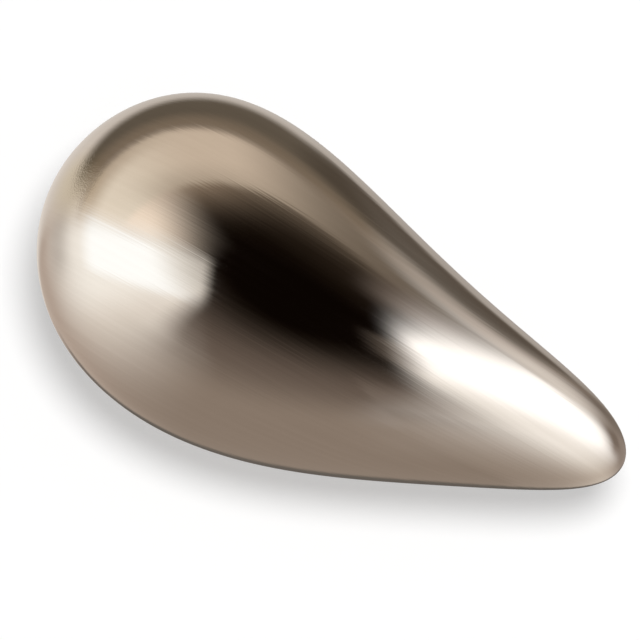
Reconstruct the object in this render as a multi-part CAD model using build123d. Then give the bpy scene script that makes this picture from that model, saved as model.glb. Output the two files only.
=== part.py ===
from build123d import *
from math import cos, pi, radians, sin, sqrt, tan
import os

# Cabinet knob, die cast in one piece: a half-egg head on a round post with a blind hole for its screw.
# Millimetres. The origin is the centre of the screw hole on the mounting face. +Z points out of the
# cabinet front, and +X runs along the head towards its narrow end.

# Outline of the head, seen from the front
HEAD_LENGTH = 50.0
HEAD_WIDTH = 26.2
TAPER = 0.658  # share of the half width gained at the round end and lost at the narrow end
END_FILL = 0.114  # keeps both ends full
TAIL_EASE = 0.21  # eases the taper off before the narrow end
BOW = 0.78  # how far the centre line swings to each side
BOW_OFFSET = 2.7  # from the middle of the length to the bottom of the bow

# Head, seen from the side
HEAD_HEIGHT = 13.0
CREST_TAPER = 0.2  # share of the height gained at the round end and lost at the narrow end
SHOULDER = 2.1  # 2 makes the skin elliptical from rim to crown, and more makes it fuller
RIM_CHAMFER = 0.35

# Post and screw hole
POST_HEIGHT = 12.0
POST_DIAMETER = 13.0
POST_FROM_ROUND_END = 20.0
POST_FLARE = 2.0  # cone where the post meets the head
FOOT_CHAMFER = 0.4
HOLE_DIAMETER = 3.3  # core of a four-millimetre thread
HOLE_DEPTH = 14.0
HOLE_COUNTERSINK = 0.4
DRILL_POINT_ANGLE = 118.0

# Closed curves that the skin is lofted through, and the points on each
RINGS = 7
RING_POINTS = 24


def fullness(u):
    """Half width over that of an ellipse, where u is -1 at the round end and 1 at the narrow end."""
    return 1 - TAPER * u + END_FILL * u**2 + TAIL_EASE * u**3


def crest(u):
    """Height over that of an ellipse."""
    return 1 - CREST_TAPER * u


def largest(share, power):
    """Largest value along the head of one of these shares times an ellipse of that power."""
    return max(share(k / 500) * (1 - (k / 500) ** 2) ** power for k in range(-500, 501))


def centre_line(u):
    """How far the middle of the head lies to the side."""
    return -BOW * cos(pi * (u - 2 * BOW_OFFSET / HEAD_LENGTH))


def skin_point(angle, rise):
    """Point of the head's skin. The angle runs round the outline, the rise from 0 at the rim to pi / 2."""
    reach = sqrt(1 - sin(rise) ** SHOULDER)
    u = reach * cos(angle)
    u_post = 2 * POST_FROM_ROUND_END / HEAD_LENGTH - 1
    half_width = HEAD_WIDTH / 2 * fullness(u) / largest(fullness, 1 / 2)
    height = HEAD_HEIGHT * crest(u) / largest(crest, 1 / SHOULDER)
    return (
        HEAD_LENGTH / 2 * (u - u_post),
        half_width * reach * sin(angle) + centre_line(u) - centre_line(u_post),
        POST_HEIGHT + height * sin(rise),
    )


def ring(rise):
    """Closed smooth curve round the skin at one rise."""
    points = [skin_point(2 * pi * k / RING_POINTS, rise) for k in range(RING_POINTS)]
    steps = [k / RING_POINTS for k in range(RING_POINTS + 1)]
    return Wire([Edge.make_spline(points, periodic=True, parameters=steps)])


def head():
    """Solid half egg with a flat back, its rim broken by a small chamfer."""
    rings = [ring(pi / 2 * k / RINGS) for k in range(RINGS)]
    crown = Vertex(*skin_point(0, pi / 2))
    egg = Solid.make_loft(rings + [crown])
    rim = egg.faces().filter_by(GeomType.PLANE).edges()
    return chamfer(rim, RIM_CHAMFER)


def post():
    """Round post that stands on the cabinet front."""
    body = extrude(Circle(POST_DIAMETER / 2), POST_HEIGHT)
    foot = body.edges().group_by(Axis.Z)[0]
    return chamfer(foot, FOOT_CHAMFER)


def screw_hole():
    """Countersunk blind hole with a drill point."""
    radius = HOLE_DIAMETER / 2
    outline = Polyline(
        (0, 0),
        (radius + HOLE_COUNTERSINK, 0),
        (radius, HOLE_COUNTERSINK),
        (radius, HOLE_DEPTH),
        (0, HOLE_DEPTH + radius / tan(radians(DRILL_POINT_ANGLE / 2))),
        close=True,
    )
    return revolve(Plane.XZ * make_face(outline), Axis.Z)


def knob():
    """Head and post cast together, with a cone between them, then drilled."""
    casting = head() + post()
    back = casting.faces().filter_by(Plane.XY).sort_by(Axis.Z)[-1]
    joint = back.edges().filter_by(GeomType.CIRCLE)
    return chamfer(joint, POST_FLARE) - screw_hole()


os.makedirs("parts", exist_ok=True)
export_step(knob(), "parts/knob.step")
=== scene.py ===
from math import atan2, cos, pi, radians, sin, tan

import bmesh
import bpy
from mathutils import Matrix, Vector


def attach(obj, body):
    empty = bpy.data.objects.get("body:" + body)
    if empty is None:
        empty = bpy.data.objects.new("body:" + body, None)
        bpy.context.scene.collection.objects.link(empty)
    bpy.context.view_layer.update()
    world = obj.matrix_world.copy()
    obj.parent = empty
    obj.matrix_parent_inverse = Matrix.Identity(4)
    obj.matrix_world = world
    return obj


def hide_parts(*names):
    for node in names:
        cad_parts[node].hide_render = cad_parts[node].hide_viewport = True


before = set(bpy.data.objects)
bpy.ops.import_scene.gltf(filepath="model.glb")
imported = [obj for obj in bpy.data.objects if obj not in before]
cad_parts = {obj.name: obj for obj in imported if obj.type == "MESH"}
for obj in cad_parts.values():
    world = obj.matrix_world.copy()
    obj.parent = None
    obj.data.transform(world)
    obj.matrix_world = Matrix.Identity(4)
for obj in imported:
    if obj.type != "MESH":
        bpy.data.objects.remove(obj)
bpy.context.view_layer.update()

# Head of the knob: a half egg of nickel-plated zinc alloy, long and narrow at one end.
# It is die cast, belt-brushed along its length and plated, so it has one smooth skin
# that runs from the rim on its flat back up to the crown.
HEAD_LENGTH = 0.050
HEAD_WIDTH = 0.0262
HEAD_HEIGHT = 0.013
TAPER = 0.658  # share of the half width gained at the round end and lost at the tip
END_FILL = 0.114  # keeps both ends full
TAIL_EASE = 0.21  # eases the taper off before the tip
BOW = 0.00078  # how far the centre line swings to each side
BOW_OFFSET = 0.108  # from the middle of the head to the bottom of the bow, in half lengths
CREST_TAPER = 0.2  # share of the height gained at the round end and lost at the tip
SHOULDER = 2.1  # 2 makes the skin elliptical from rim to crown, and more makes it fuller
FIRST_RISE = 0.022  # where the skin meets the rounded rim, on a scale with the crown at pi / 2
POST_HEIGHT = 0.012
POST_PLACE = -0.2  # from the middle of the head, in half lengths
COLUMNS = 192
SKIN_ROWS = 96
BRUSH_TURN = radians(-5)  # the brush runs a few degrees off the head's length
PEEL_CENTRE = (-0.0178, 0.0010, 0.0182)
PEEL_CORE = 0.0008  # radius inside which the casting's own grain is bare
PEEL_REACH = 0.0040  # radius beyond which the brush has taken it off


def calc(tree, operation, *values):
    """One math node, fed by sockets or plain numbers."""
    node = tree.nodes.new("ShaderNodeMath")
    node.operation = operation
    for socket, value in zip(node.inputs, values):
        if isinstance(value, (int, float)):
            socket.default_value = value
        else:
            tree.links.new(value, socket)
    return node.outputs[0]


def ranged(tree, value, start, end, low, high, smooth=False):
    """The value moved from the range start to end into low to high, and held beyond it."""
    node = tree.nodes.new("ShaderNodeMapRange")
    node.interpolation_type = "SMOOTHSTEP" if smooth else "LINEAR"
    for name, number in (("From Min", start), ("From Max", end), ("To Min", low), ("To Max", high)):
        node.inputs[name].default_value = number
    tree.links.new(value, node.inputs["Value"])
    return node.outputs[0]


def blend(tree, share, under, over):
    """Mix of two colours, each of them a tuple or a socket."""
    node = tree.nodes.new("ShaderNodeMix")
    node.data_type = "RGBA"
    for name, value in (("A", under), ("B", over)):
        if isinstance(value, tuple):
            node.inputs[name].default_value = (*value, 1)
        else:
            tree.links.new(value, node.inputs[name])
    tree.links.new(share, node.inputs["Factor"])
    return node.outputs["Result"]


def noise(tree, vector, scale, detail, dimensions="3D"):
    """Noise over a vector, from 0 to 1."""
    node = tree.nodes.new("ShaderNodeTexNoise")
    node.noise_dimensions = dimensions
    node.inputs["Scale"].default_value = scale
    node.inputs["Detail"].default_value = detail
    tree.links.new(vector, node.inputs["Vector"])
    return node.outputs["Fac"]


def bumped(tree, height, distance, strength=1.0, under=None):
    """Normal bent by a height, over another bent normal if one is given."""
    node = tree.nodes.new("ShaderNodeBump")
    node.inputs["Strength"].default_value = strength
    node.inputs["Distance"].default_value = distance
    tree.links.new(height, node.inputs["Height"])
    if under is not None:
        tree.links.new(under, node.inputs["Normal"])
    return node.outputs[0]


def bare_metal(name):
    """New metal, with its tree, its shader and its object coordinates."""
    made = bpy.data.materials.new(name)
    made.use_nodes = True
    tree = made.node_tree
    metal = tree.nodes["Principled BSDF"]
    metal.inputs["Metallic"].default_value = 1.0
    return made, tree, metal, tree.nodes.new("ShaderNodeTexCoord").outputs["Object"]


def wire(tree, metal, colour, roughness, normal):
    """Link what varies over the surface to the metal's shader."""
    tree.links.new(colour, metal.inputs["Base Color"])
    tree.links.new(roughness, metal.inputs["Roughness"])
    tree.links.new(normal, metal.inputs["Normal"])


def gridded(name, sizes):
    """Geometry tree with its inputs, a grid, and each point's place across it from -0.5 to 0.5."""
    tree = bpy.data.node_groups.new(name, "GeometryNodeTree")
    for size in sizes:
        tree.interface.new_socket(size, in_out="INPUT", socket_type="NodeSocketFloat")
    for count in ("Columns", "Rows"):
        tree.interface.new_socket(count, in_out="INPUT", socket_type="NodeSocketInt")
    tree.interface.new_socket("Finish", in_out="INPUT", socket_type="NodeSocketMaterial")
    tree.interface.new_socket("Mesh", in_out="OUTPUT", socket_type="NodeSocketGeometry")
    given = tree.nodes.new("NodeGroupInput").outputs

    grid = tree.nodes.new("GeometryNodeMeshGrid")
    for count, axis in (("Columns", "X"), ("Rows", "Y")):
        grid.inputs[f"Size {axis}"].default_value = 1
        tree.links.new(calc(tree, "ADD", given[count], 1), grid.inputs[f"Vertices {axis}"])
    place = tree.nodes.new("ShaderNodeSeparateXYZ")
    tree.links.new(tree.nodes.new("GeometryNodeInputPosition").outputs[0], place.inputs[0])
    return tree, given, grid, place.outputs["X"], place.outputs["Y"]


def formed(tree, given, grid, *axes):
    """End a tree: move the grid's points, merge its seam and pole, and give it its finish."""
    point = tree.nodes.new("ShaderNodeCombineXYZ")
    for axis, value in zip("XYZ", axes):
        tree.links.new(value, point.inputs[axis])
    bend = tree.nodes.new("GeometryNodeSetPosition")
    tree.links.new(grid.outputs["Mesh"], bend.inputs["Geometry"])
    tree.links.new(point.outputs[0], bend.inputs["Position"])
    close = tree.nodes.new("GeometryNodeMergeByDistance")
    close.inputs["Distance"].default_value = 1e-6
    tree.links.new(bend.outputs[0], close.inputs["Geometry"])
    real = tree.nodes.new("GeometryNodeRealizeInstances")
    tree.links.new(close.outputs[0], real.inputs[0])
    finish = tree.nodes.new("GeometryNodeSetMaterial")
    tree.links.new(real.outputs[0], finish.inputs["Geometry"])
    tree.links.new(given["Finish"], finish.inputs["Material"])
    tree.links.new(finish.outputs[0], tree.nodes.new("NodeGroupOutput").inputs[0])
    return tree


def grown(name, tree, sizes):
    """Plain mesh that a tree makes with these sizes."""
    holder = bpy.data.objects.new(name, bpy.data.meshes.new(name))
    bpy.context.scene.collection.objects.link(holder)
    maker = holder.modifiers.new(name, "NODES")
    maker.node_group = tree
    for socket in tree.interface.items_tree:
        if socket.in_out == "INPUT":
            maker[socket.identifier] = sizes[socket.name]
    seen = holder.evaluated_get(bpy.context.evaluated_depsgraph_get())
    mesh = bpy.data.meshes.new_from_object(seen)
    holder.modifiers.remove(maker)
    bpy.data.objects.remove(holder)
    return mesh


def fullness(u):
    """Half width over that of an ellipse, where u is -1 at the round end and 1 at the tip."""
    return 1 - TAPER * u + END_FILL * u**2 + TAIL_EASE * u**3


def crest(u):
    """Height over that of an ellipse."""
    return 1 - CREST_TAPER * u


def largest(share, power):
    """Largest value along the head of one of these shares times an ellipse of that power."""
    return max(share(k / 500) * (1 - (k / 500) ** 2) ** power for k in range(-500, 501))


def egg_tree():
    """Geometry nodes that lay a grid over the half egg, one row for each height."""
    tree, given, grid, column, row = gridded("half_egg", (
        "Length", "Half Width", "Height", "Taper", "End Fill", "Tail Ease", "Bow", "Bow Offset",
        "Crest Taper", "Shoulder", "Post Place", "Back Height", "First Rise"))
    turn = calc(tree, "MULTIPLY_ADD", column, 2 * pi, pi)
    climb = calc(tree, "SUBTRACT", pi / 2, given["First Rise"])
    rise = calc(tree, "MULTIPLY_ADD", calc(tree, "ADD", row, 0.5), climb, given["First Rise"])

    sine = calc(tree, "SINE", rise)
    lost = calc(tree, "POWER", sine, given["Shoulder"])
    reach = calc(tree, "SQRT", calc(tree, "MAXIMUM", calc(tree, "SUBTRACT", 1, lost), 0))
    u = calc(tree, "MULTIPLY", reach, calc(tree, "COSINE", turn))
    ease = calc(tree, "MULTIPLY_ADD", u, given["Tail Ease"], given["End Fill"])
    ease = calc(tree, "SUBTRACT", calc(tree, "MULTIPLY", ease, u), given["Taper"])
    full = calc(tree, "MULTIPLY_ADD", ease, u, 1)

    def centre_line(at):
        phase = calc(tree, "MULTIPLY", calc(tree, "SUBTRACT", at, given["Bow Offset"]), pi)
        return calc(tree, "MULTIPLY", calc(tree, "COSINE", phase), given["Bow"])

    x = calc(tree, "SUBTRACT", u, given["Post Place"])
    x = calc(tree, "MULTIPLY", calc(tree, "MULTIPLY", x, 0.5), given["Length"])
    y = calc(tree, "MULTIPLY", reach, calc(tree, "SINE", turn))
    y = calc(tree, "MULTIPLY", calc(tree, "MULTIPLY", y, full), given["Half Width"])
    y = calc(tree, "SUBTRACT", y, centre_line(u))
    y = calc(tree, "ADD", y, centre_line(given["Post Place"]))
    lean = calc(tree, "SUBTRACT", 1, calc(tree, "MULTIPLY", u, given["Crest Taper"]))
    z = calc(tree, "MULTIPLY", calc(tree, "MULTIPLY", sine, lean), given["Height"])
    z = calc(tree, "ADD", z, given["Back Height"])
    return formed(tree, given, grid, x, y, z)


def brushed_nickel():
    """Satin nickel: fine scratches along the head in its roughness and its bump."""
    made, tree, metal, where = bare_metal("brushed_nickel")
    metal.inputs["Anisotropic"].default_value = 0.7
    metal.inputs["Anisotropic Rotation"].default_value = 0.25
    grain = tree.nodes.new("ShaderNodeTangent")
    grain.direction_type = "UV_MAP"
    grain.uv_map = "brush"
    tree.links.new(grain.outputs[0], metal.inputs["Tangent"])
    along = tree.nodes.new("ShaderNodeUVMap")
    along.uv_map = "brush"

    def scratches(per_metre_along, per_metre_across, turn):
        """Noise drawn out along the brush."""
        place = tree.nodes.new("ShaderNodeMapping")
        place.inputs["Rotation"].default_value = (0, 0, turn)
        place.inputs["Scale"].default_value = (per_metre_along, per_metre_across, 1)
        tree.links.new(along.outputs[0], place.inputs[0])
        return noise(tree, place.outputs[0], 1, 1, "2D")

    fine = scratches(150, 6000, 0)
    broad = scratches(60, 1500, 0.05)
    lines = calc(tree, "MULTIPLY_ADD", broad, 1.6, fine)

    # the brush skips a patch at the round end, where the orange peel of the casting shows
    gap = tree.nodes.new("ShaderNodeVectorMath")
    gap.operation = "DISTANCE"
    gap.inputs[1].default_value = PEEL_CENTRE
    tree.links.new(where, gap.inputs[0])
    patch = ranged(tree, gap.outputs["Value"], PEEL_CORE, PEEL_REACH, 1, 0, smooth=True)
    peel = calc(tree, "MULTIPLY", noise(tree, where, 7000, 1), patch)

    colour = blend(tree, broad, (0.64, 0.59, 0.54), (0.68, 0.63, 0.58))
    colour = blend(tree, patch, colour, (0.66, 0.595, 0.48))
    bump = bumped(tree, peel, 1.4e-5, under=bumped(tree, lines, 2.5e-6))
    wire(tree, metal, colour, ranged(tree, lines, 0.9, 1.7, 0.05, 0.10), bump)
    return made


nickel = brushed_nickel()
egg_height = HEAD_HEIGHT / largest(crest, 1 / SHOULDER)
skin = grown("skin", egg_tree(), {
    "Length": HEAD_LENGTH,
    "Half Width": HEAD_WIDTH / 2 / largest(fullness, 1 / 2),
    "Height": egg_height,
    "Taper": TAPER,
    "End Fill": END_FILL,
    "Tail Ease": TAIL_EASE,
    "Bow": BOW,
    "Bow Offset": BOW_OFFSET,
    "Crest Taper": CREST_TAPER,
    "Shoulder": SHOULDER,
    "Post Place": POST_PLACE,
    "Back Height": POST_HEIGHT,
    "First Rise": FIRST_RISE,
    "Columns": COLUMNS,
    "Rows": SKIN_ROWS,
    "Finish": nickel,
})

# Screw hole: drilled blind from the mounting face and tapped for a four-millimetre machine
# screw. The tap stops short of the bottom, so the last turns fade into a plain wall.
CORE_RADIUS = 0.00165
THREAD_DEPTH = 0.00035
PITCH = 0.0007
COUNTERSINK = 0.0004
HOLE_DEPTH = 0.014
TAPPED_DEPTH = 0.0118
THREAD_ROWS = 150
DRILL_POINT = radians(118)


def thread_tree():
    """Geometry nodes that roll a grid into a hole and press a screw thread into its wall."""
    tree, given, grid, column, row = gridded("tapped_wall", (
        "Core Radius", "Thread Depth", "Pitch", "Start", "Tapped Depth", "Hole Depth"))
    turn = calc(tree, "ADD", column, 0.5)
    depth = calc(tree, "SUBTRACT", given["Hole Depth"], given["Start"])
    z = calc(tree, "MULTIPLY_ADD", calc(tree, "ADD", row, 0.5), depth, given["Start"])

    # a groove with sloping walls and flat lands, which fades out over one pitch at each end
    lead = calc(tree, "SUBTRACT", calc(tree, "DIVIDE", z, given["Pitch"]), turn)
    groove = calc(tree, "SUBTRACT", calc(tree, "MULTIPLY", calc(tree, "FRACT", lead), 2), 1)
    groove = calc(tree, "MULTIPLY", calc(tree, "ABSOLUTE", groove), 1.3)
    groove = calc(tree, "MINIMUM", calc(tree, "SUBTRACT", 1.15, groove), 1)
    groove = calc(tree, "MAXIMUM", groove, 0)
    mouth = calc(tree, "DIVIDE", calc(tree, "SUBTRACT", z, given["Start"]), given["Pitch"])
    bottom = calc(tree, "DIVIDE", calc(tree, "SUBTRACT", given["Tapped Depth"], z), given["Pitch"])
    fade = calc(tree, "MINIMUM", calc(tree, "MINIMUM", mouth, bottom), 1)
    fade = calc(tree, "MAXIMUM", fade, 0)
    pressed = calc(tree, "MULTIPLY", calc(tree, "MULTIPLY", groove, fade), given["Thread Depth"])

    radius = calc(tree, "ADD", pressed, given["Core Radius"])
    angle = calc(tree, "MULTIPLY", turn, 2 * pi)
    x = calc(tree, "MULTIPLY", radius, calc(tree, "COSINE", angle))
    y = calc(tree, "MULTIPLY", radius, calc(tree, "SINE", angle))
    return formed(tree, given, grid, x, y, z)


def machined_alloy():
    """Bare zinc alloy as a tap and a facing tool leave it, with fine turning marks."""
    made, tree, metal, where = bare_metal("machined_alloy")
    wave = tree.nodes.new("ShaderNodeTexWave")
    wave.wave_type = "RINGS"
    wave.rings_direction = "Z"
    wave.inputs["Scale"].default_value = 2600
    wave.inputs["Distortion"].default_value = 0.6
    wave.inputs["Detail"].default_value = 2
    tree.links.new(where, wave.inputs["Vector"])
    marks = wave.outputs["Fac"]
    colour = blend(tree, marks, (0.47, 0.46, 0.45), (0.60, 0.59, 0.58))
    wire(tree, metal, colour, ranged(tree, marks, 0, 1, 0.28, 0.42), bumped(tree, marks, 6e-6))
    return made


alloy = machined_alloy()
tapped_wall = grown("tapped_wall", thread_tree(), {
    "Core Radius": CORE_RADIUS,
    "Thread Depth": THREAD_DEPTH,
    "Pitch": PITCH,
    "Start": COUNTERSINK,
    "Tapped Depth": TAPPED_DEPTH,
    "Hole Depth": HOLE_DEPTH,
    "Columns": COLUMNS,
    "Rows": THREAD_ROWS,
    "Finish": alloy,
})

# Back and post: the flat back of the head, and the round post that is cast with it and
# stands on the cabinet front. They are plated with the head but not brushed, and the end
# of the post is faced flat round the screw hole.
POST_RADIUS = 0.0065
COVE = 0.002
FOOT_CHAMFER = 0.0004
RIM_ROUND = 0.0003
RIM_STEPS = 4
COVE_STEPS = 8
BRUSHED, PLATED, MACHINED = range(3)
SHARP_TURN = radians(32)  # edges that turn by more than this stay sharp


def plated_casting():
    """Nickel plate over the smooth casting, with a soft, even grain."""
    made, tree, metal, where = bare_metal("plated_casting")
    grain = noise(tree, where, 2500, 3)
    clouds = noise(tree, where, 220, 2)
    colour = blend(tree, clouds, (0.60, 0.555, 0.51), (0.67, 0.62, 0.57))
    bump = bumped(tree, grain, 8e-6, strength=0.6)
    wire(tree, metal, colour, ranged(tree, grain, 0.3, 0.7, 0.27, 0.36), bump)
    return made


def edge_ring(made, height):
    """Corners of the open edge of a shell that lie near one height, in order round it."""
    ring = {v for e in made.edges if e.is_boundary for v in e.verts if abs(v.co.z - height) < 1e-4}
    corner = next(iter(ring))
    ordered = [corner]
    while True:
        near = [e.other_vert(corner) for e in corner.link_edges if e.is_boundary]
        onward = [v for v in near if v in ring and v not in ordered]
        if not onward:
            return ordered
        corner = onward[0]
        ordered.append(corner)


def winding(points):
    """Twice the area inside a ring of points, which is negative where it runs clockwise."""
    return sum(a.x * b.y - b.x * a.y for a, b in zip(points, points[1:] + points[:1]))


def beside(ring, corner, way):
    """The ring from its corner nearest in angle to another, run the same way round."""
    if winding([v.co for v in ring]) * way < 0:
        ring = ring[::-1]
    aim = corner.co.xy.normalized()
    first = min(range(len(ring)), key=lambda k: (ring[k].co.xy.normalized() - aim).length)
    return ring[first:] + ring[:first]


def band(made, lower, upper, slot):
    """Faces between two rings with the same number of corners."""
    for k in range(len(lower)):
        after = (k + 1) % len(lower)
        face = made.faces.new((lower[k], lower[after], upper[after], upper[k]))
        face.material_index = slot


casting = plated_casting()
shell = bmesh.new()
shell.from_mesh(skin)
# a grid brings an empty material slot of its own, so the skin's faces come in on the next one
for face in shell.faces:
    face.material_index = BRUSHED
rim = edge_ring(shell, POST_HEIGHT + RIM_ROUND)
tip = max(range(len(rim)), key=lambda k: rim[k].co.x)
rim = rim[tip:] + rim[:tip]
rim_points = [v.co.copy() for v in rim]
rim_way = winding(rim_points)
outward = []
for k, point in enumerate(rim_points):
    run = rim_points[(k + 1) % len(rim)] - rim_points[k - 1]
    side = Vector((run.y, -run.x, 0)) if rim_way > 0 else Vector((-run.y, run.x, 0))
    outward.append(side.normalized())

last = rim
for step in range(1, RIM_STEPS + 1):
    bend = pi / 2 * step / RIM_STEPS
    ring = []
    for point, side in zip(rim_points, outward):
        spot = point - side * RIM_ROUND * (1 - cos(bend))
        spot.z = POST_HEIGHT + RIM_ROUND * (1 - sin(bend))
        ring.append(shell.verts.new(spot))
    band(shell, last, ring, BRUSHED)
    last = ring
# a narrow flat strip inside the rim keeps the rim's bend out of the shading of the back
ring = [shell.verts.new(corner.co - side * RIM_ROUND) for corner, side in zip(last, outward)]
band(shell, last, ring, PLATED)
last = ring

profile = [(POST_RADIUS + COVE + RIM_ROUND, POST_HEIGHT)]
for step in range(COVE_STEPS + 1):
    bend = pi / 2 * step / COVE_STEPS
    profile.append((POST_RADIUS + COVE * (1 - sin(bend)), POST_HEIGHT - COVE * (1 - cos(bend))))
profile += [(POST_RADIUS, FOOT_CHAMFER), (POST_RADIUS - FOOT_CHAMFER, 0)]
angles = [atan2(point.y, point.x) for point in rim_points]
for radius, height in profile:
    ring = [shell.verts.new((radius * cos(angle), radius * sin(angle), height)) for angle in angles]
    band(shell, last, ring, PLATED)
    last = ring

cast_faces = set(shell.faces)
shell.from_mesh(tapped_wall)
for face in shell.faces:
    if face not in cast_faces:
        face.material_index = MACHINED
mouth = beside(edge_ring(shell, COUNTERSINK), last[0], rim_way)
bottom = edge_ring(shell, HOLE_DEPTH)
widen = 1 + COUNTERSINK / CORE_RADIUS
brink = [shell.verts.new((v.co.x * widen, v.co.y * widen, 0)) for v in mouth]
band(shell, last, brink, MACHINED)
band(shell, brink, mouth, MACHINED)
drill_tip = shell.verts.new((0, 0, HOLE_DEPTH + CORE_RADIUS / tan(DRILL_POINT / 2)))
for k in range(len(bottom)):
    face = shell.faces.new((bottom[k], bottom[(k + 1) % len(bottom)], drill_tip))
    face.material_index = MACHINED
bmesh.ops.recalc_face_normals(shell, faces=shell.faces)

# the grain follows the brush over the skin: along it, and down both flanks from the ridge
flow = shell.loops.layers.uv.new("brush")
for face in shell.faces:
    for loop in face.loops:
        x, y, z = loop.vert.co
        if face.material_index == BRUSHED:
            u = min(max(2 * x / HEAD_LENGTH + POST_PLACE, -1), 1)
            middle = -BOW * (cos(pi * (u - BOW_OFFSET)) - cos(pi * (POST_PLACE - BOW_OFFSET)))
            ridge = POST_HEIGHT + egg_height * crest(u) * (1 - u * u) ** (1 / SHOULDER)
            fall = max(ridge - z, 0)
            across = y * cos(BRUSH_TURN) - x * sin(BRUSH_TURN) + (fall if y > middle else -fall)
            loop[flow].uv = (x * cos(BRUSH_TURN) + y * sin(BRUSH_TURN), across)
        else:
            loop[flow].uv = (x, y)

knob_mesh = bpy.data.meshes.new("knob_casting")
shell.to_mesh(knob_mesh)
shell.free()
for finish in (nickel, casting, alloy):
    knob_mesh.materials.append(finish)
knob_mesh.polygons.foreach_set("use_smooth", [True] * len(knob_mesh.polygons))
knob_mesh.set_sharp_from_angle(angle=SHARP_TURN)
knob_casting = bpy.data.objects.new("knob_casting", knob_mesh)
bpy.context.scene.collection.objects.link(knob_casting)
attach(knob_casting, "root")
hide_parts("knob")

# Studio: a white floor, a light tent whose panels show in the metal, and one soft lamp
# above. The tent is seen in reflections only, and stands for the floor and walls there.
VIEW_TURN = radians(26.88)
VIEW_HEIGHT = radians(80)
VIEW_DISTANCE = 1.0
VIEW_AIM = Vector((0.00362, 0.00081, POST_HEIGHT))
FLOOR_REACH = 3
FLOOR_DROP = 0.00002  # keeps the floor off the end of the post
FLOOR_PLAIN = 0.42  # share of plain white in what is seen of the floor
TENT_RADIUS = 4.0
KEY_DISTANCE = 1.0
KEY_LEAN = radians(5.3)
KEY_SWING = radians(31)
KEY_SIZE = 0.28
KEY_POWER = 7.8
WORLD_LIGHT = 0.25  # what the world lights with, as a share of how bright it looks
LENS = 717.6


def seen_directly(tree):
    """1 on rays that show a background: from the camera, off metal and through glass."""
    path = tree.nodes.new("ShaderNodeLightPath")
    seen = calc(tree, "MAXIMUM", path.outputs["Is Camera Ray"], path.outputs["Is Glossy Ray"])
    return calc(tree, "MAXIMUM", seen, path.outputs["Is Transmission Ray"])


def white_floor():
    """White paper. Part of what is seen of it is plain white, so that the shadow stays light."""
    made = bpy.data.materials.new("white_paper")
    made.use_nodes = True
    tree = made.node_tree
    tree.nodes.remove(tree.nodes["Principled BSDF"])
    paper = tree.nodes.new("ShaderNodeBsdfDiffuse")
    paper.inputs["Color"].default_value = (1.0, 1.0, 1.0, 1)
    plain = tree.nodes.new("ShaderNodeEmission")
    plain.inputs["Strength"].default_value = 1.0
    mix = tree.nodes.new("ShaderNodeMixShader")
    tree.links.new(calc(tree, "MULTIPLY", seen_directly(tree), FLOOR_PLAIN), mix.inputs["Fac"])
    tree.links.new(paper.outputs[0], mix.inputs[1])
    tree.links.new(plain.outputs[0], mix.inputs[2])
    tree.links.new(mix.outputs[0], tree.nodes["Material Output"].inputs["Surface"])
    return made


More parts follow.
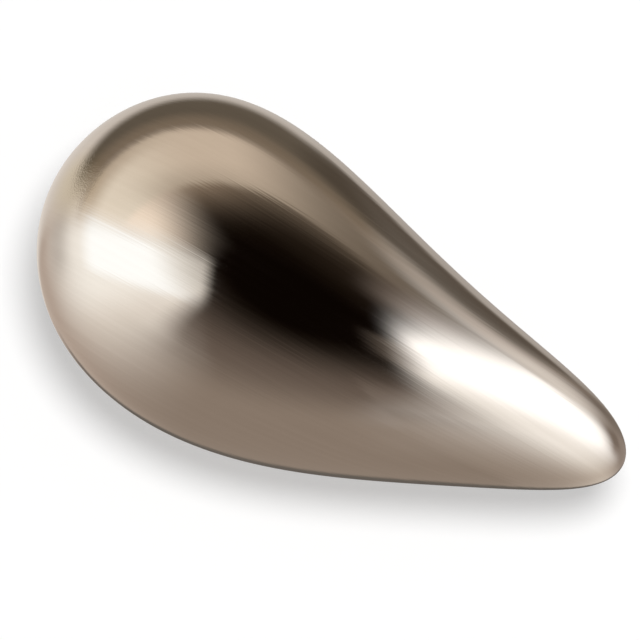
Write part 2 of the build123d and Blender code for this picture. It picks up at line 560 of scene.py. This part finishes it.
def tent_cloth():
    """Panels of the light tent, by the direction in which they lie from the knob.

    Angles are in degrees. The azimuth is 0 behind the knob and grows to the right in the
    picture, so the camera's side is at 180, and the elevation is 90 straight up.
    """
    made = bpy.data.materials.new("tent_cloth")
    made.use_nodes = True
    tree = made.node_tree
    tree.nodes.remove(tree.nodes["Principled BSDF"])
    where = tree.nodes.new("ShaderNodeTexCoord")
    turned = tree.nodes.new("ShaderNodeMapping")
    turned.inputs["Rotation"].default_value = (0, 0, -VIEW_TURN)
    tree.links.new(where.outputs["Object"], turned.inputs[0])
    ray = tree.nodes.new("ShaderNodeVectorMath")
    ray.operation = "NORMALIZE"
    tree.links.new(turned.outputs[0], ray.inputs[0])
    parts = tree.nodes.new("ShaderNodeSeparateXYZ")
    tree.links.new(ray.outputs[0], parts.inputs[0])
    az = calc(tree, "DEGREES", calc(tree, "ARCTAN2", parts.outputs["X"], parts.outputs["Y"]))
    el = calc(tree, "DEGREES", calc(tree, "ARCSINE", parts.outputs["Z"]))

    def step(value, start, end):
        """0 before start and 1 after end, with a smooth slope between."""
        if start < end:
            return ranged(tree, value, start, end, 0, 1, smooth=True)
        return ranged(tree, value, end, start, 1, 0, smooth=True)

    def both(*masks):
        """Where all of these masks are 1."""
        product = masks[0]
        for mask in masks[1:]:
            product = calc(tree, "MULTIPLY", product, mask)
        return product

    def lay(under, over, mask):
        """One colour over another where the mask is 1."""
        return blend(tree, mask, under, over)

    def edge(azimuth, elevation, softness):
        """1 on one side of a panel's straight edge, whose plane passes through the knob."""
        a, e = radians(azimuth), radians(elevation)
        dot = tree.nodes.new("ShaderNodeVectorMath")
        dot.operation = "DOT_PRODUCT"
        tree.links.new(ray.outputs[0], dot.inputs[0])
        dot.inputs[1].default_value = (sin(a) * cos(e), cos(a) * cos(e), sin(e))
        reach = sin(radians(softness / 2))
        return step(dot.outputs["Value"], -reach, reach)

    def brow(turned_az, wide, narrow):
        """Edge of a side panel, soft near the floor and crisper overhead."""
        low = calc(tree, "MULTIPLY", step(turned_az, *wide), step(el, 60, 0))
        return calc(tree, "MULTIPLY_ADD", step(turned_az, *narrow), step(el, 0, 60), low)

    def bowl(middle, bend):
        """Height of a bowed edge above its lowest point, which is at this azimuth."""
        off = calc(tree, "SUBTRACT", az, middle)
        return calc(tree, "MULTIPLY", calc(tree, "MULTIPLY", off, off), bend)

    # camera side: taupe below, darkening upwards to black overhead
    cloth = lay((0.365, 0.30, 0.25), (0.175, 0.138, 0.115), step(el, -5, 42))
    cloth = lay(cloth, (0.034, 0.026, 0.020), step(el, 34, 68))
    cloth = lay(cloth, (0.004, 0.002, 0.001), step(el, 58, 76))

    # behind: a dusk that fades to black, over a tan wall with a bowed top
    over = calc(tree, "SUBTRACT", calc(tree, "ADD", el, bowl(-16, 0.0066)), 40.5)
    dusk = lay((0.026, 0.018, 0.012), (0.004, 0.002, 0.001), step(el, 34, 70))
    glimmer = step(over, 26, -6)
    glow = lay((0.40, 0.31, 0.23), (0.17, 0.135, 0.10), step(az, -20, 30))
    dusk = lay(dusk, glow, both(glimmer, glimmer))
    dusk = lay(dusk, (1.32, 1.16, 0.99), both(step(az, -15, -66), step(el, 72, 42)))
    cloth = lay(cloth, dusk, both(step(el, 8, 24), step(az, -85, -65), step(az, 100, 60)))
    wall = lay((1.10, 1.02, 0.88), (0.82, 0.70, 0.57), step(az, -70, -5))
    wall = lay(wall, (0.19, 0.155, 0.12), step(az, 6, 44))
    wall = lay(wall, (0.70, 0.60, 0.48), both(step(el, 18, 4), step(az, 0, -40)))
    wall_top = both(step(over, -16, 8), step(az, -60, -20), step(az, 40, 0))
    wall = lay(wall, (0.50, 0.43, 0.34), wall_top)
    wall_area = both(edge(-25, -49, 5), step(az, -85, -65), step(az, 60, 44), step(el, -4, 3))
    cloth = lay(cloth, wall, wall_area)

    # behind and below: a pale floor with a dark band across it, and a faint glow at its right
    pale = lay((0.84, 0.78, 0.72), (0.64, 0.59, 0.54), step(az, -45, 0))
    cloth = lay(cloth, pale, both(step(el, 2, -8), step(az, -82, -66), step(az, 41, 37)))
    dark = lay((0.27, 0.215, 0.16), (0.155, 0.13, 0.10), step(el, -4, -22))
    low = calc(tree, "SUBTRACT", bowl(15, 0.0055), el)
    dark_area = both(step(el, 6, -5), step(low, 56, 37), step(az, -68, -44), step(az, 42, 36))
    cloth = lay(cloth, dark, dark_area)
    corner = both(step(el, -56, -46), step(el, -10, -24), step(az, 24, 33), step(az, 42, 37))
    cloth = lay(cloth, (0.105, 0.085, 0.065), corner)
    beam = both(step(az, 38, 46), step(el, 53, 28), step(el, 10, 24))
    cloth = lay(cloth, (0.26, 0.215, 0.185), beam)

    # left: cream cloth with a crisp white panel in it
    left = lay((1.20, 1.15, 1.08), (1.34, 1.34, 1.30), step(az, -118, -98))
    left = lay(left, (1.20, 1.10, 0.97), both(step(az, -78, -60), step(el, 50, 26)))
    left = lay((0.60, 0.50, 0.43), left, step(el, -58, 12))
    shade = both(step(el, -2, -36), step(el, -44, -4), step(az, -98, -84))
    left = lay(left, (0.40, 0.37, 0.34), shade)
    crisp = both(edge(-1, 17, 6), edge(-157, -9, 7), step(el, 0, 14), step(el, 62, 42))
    left = lay(left, (1.54, 1.63, 1.69), crisp)
    left = lay(left, (0.45, 0.42, 0.375), step(el, 45, 79))
    lift = calc(tree, "MULTIPLY", calc(tree, "MAXIMUM", calc(tree, "SUBTRACT", el, 25), 0), 0.4)
    left_end = brow(calc(tree, "SUBTRACT", az, lift), (-152, -101), (-136, -120))
    cloth = lay(cloth, left, both(edge(-66, -21.5, 5), left_end, step(az, -56, -80)))

    # right: white panel, dimmer towards the camera, over a taupe floor
    white = lay((1.80, 1.82, 1.84), (1.30, 1.28, 1.24), step(az, 100, 140))
    white = lay(white, (1.00, 0.98, 0.95), step(el, 60, 72))
    under = lay((0.27, 0.22, 0.185), (0.37, 0.31, 0.27), step(el, -30, -44))
    under = lay(under, (0.38, 0.32, 0.28), step(az, 82, 94))
    under = lay(under, (0.76, 0.68, 0.60), step(az, 98, 152))
    crisper = lay(under, white, step(el, -24, 7))
    softer = lay(under, white, step(el, -50, 22))
    right = lay(crisper, softer, step(az, 90, 116))
    side = lay((0.23, 0.19, 0.16), (0.95, 0.90, 0.85), step(el, -46, -10))
    right = lay(lay(side, right, step(az, 46, 74)), right, step(el, -6, 10))
    round_az = calc(tree, "WRAP", az, 270, -90)
    right_end = brow(calc(tree, "ADD", round_az, lift), (189, 144), (181, 144))
    near = both(edge(136, -7, 15), edge(124, -15.2, 10))
    near = calc(tree, "MAXIMUM", near, both(step(az, 36, 45), step(el, 12, -8)))
    halo = both(edge(104, -17.5, 10), step(az, 72, 92), step(az, 150, 128))
    cloth = lay(cloth, (0.18, 0.15, 0.125), halo)
    cloth = lay(cloth, right, both(edge(103, -22.3, 10), near, right_end))

    # straight down: painted shadow, a dark patch that stands for the floor in the rim's own shadow
    cloth = lay(cloth, (0.155, 0.14, 0.125), both(step(el, -67, -73), edge(180, 0, 6)))

    lit = tree.nodes.new("ShaderNodeEmission")
    lit.inputs["Strength"].default_value = 1.0
    tree.links.new(cloth, lit.inputs["Color"])
    tree.links.new(lit.outputs[0], tree.nodes["Material Output"].inputs["Surface"])
    return made


floor_mesh = bpy.data.meshes.new("floor")
square = ((-1, -1), (1, -1), (1, 1), (-1, 1))
corners = [(x * FLOOR_REACH, y * FLOOR_REACH, -FLOOR_DROP) for x, y in square]
floor_mesh.from_pydata(corners, [], [(0, 1, 2, 3)])
floor_mesh.materials.append(white_floor())
floor = bpy.data.objects.new("floor", floor_mesh)
bpy.context.scene.collection.objects.link(floor)
floor.visible_glossy = False

ball = bmesh.new()
bmesh.ops.create_icosphere(ball, subdivisions=5, radius=TENT_RADIUS)
tent_mesh = bpy.data.meshes.new("light_tent")
ball.to_mesh(tent_mesh)
ball.free()
tent_mesh.materials.append(tent_cloth())
light_tent = bpy.data.objects.new("light_tent", tent_mesh)
bpy.context.scene.collection.objects.link(light_tent)
light_tent.visible_camera = False
light_tent.visible_diffuse = False
light_tent.visible_shadow = False
light_tent.visible_transmission = False

key = bpy.data.lights.new("key_lamp", "AREA")
key.shape = "DISK"
key.size = KEY_SIZE
key.energy = KEY_POWER
key_lamp = bpy.data.objects.new("key_lamp", key)
key_way = Vector((sin(KEY_LEAN) * cos(KEY_SWING), sin(KEY_LEAN) * sin(KEY_SWING), cos(KEY_LEAN)))
key_lamp.location = key_way * KEY_DISTANCE
key_lamp.rotation_euler = (-key_way).to_track_quat("-Z", "Y").to_euler()
key_lamp.visible_glossy = False
bpy.context.scene.collection.objects.link(key_lamp)

world = bpy.data.worlds.new("studio")
bpy.context.scene.world = world
world.use_nodes = True
sky = world.node_tree
surround = sky.nodes["Background"]
surround.inputs["Color"].default_value = (1, 1, 1, 1)
strength = calc(sky, "MULTIPLY_ADD", seen_directly(sky), 1 - WORLD_LIGHT, WORLD_LIGHT)
sky.links.new(strength, surround.inputs["Strength"])

camera_data = bpy.data.cameras.new("camera")
camera_data.lens = LENS
camera_data.sensor_width = 36
camera_data.clip_start = 0.01
camera_data.clip_end = 50
camera = bpy.data.objects.new("camera", camera_data)
bpy.context.scene.collection.objects.link(camera)
level = cos(VIEW_HEIGHT)
view_way = Vector((sin(VIEW_TURN) * level, -cos(VIEW_TURN) * level, sin(VIEW_HEIGHT)))
camera.location = VIEW_AIM + view_way * VIEW_DISTANCE
camera.rotation_euler = (pi / 2 - VIEW_HEIGHT, 0, VIEW_TURN)
bpy.context.scene.camera = camera
bpy.context.scene.view_settings.view_transform = "Standard"
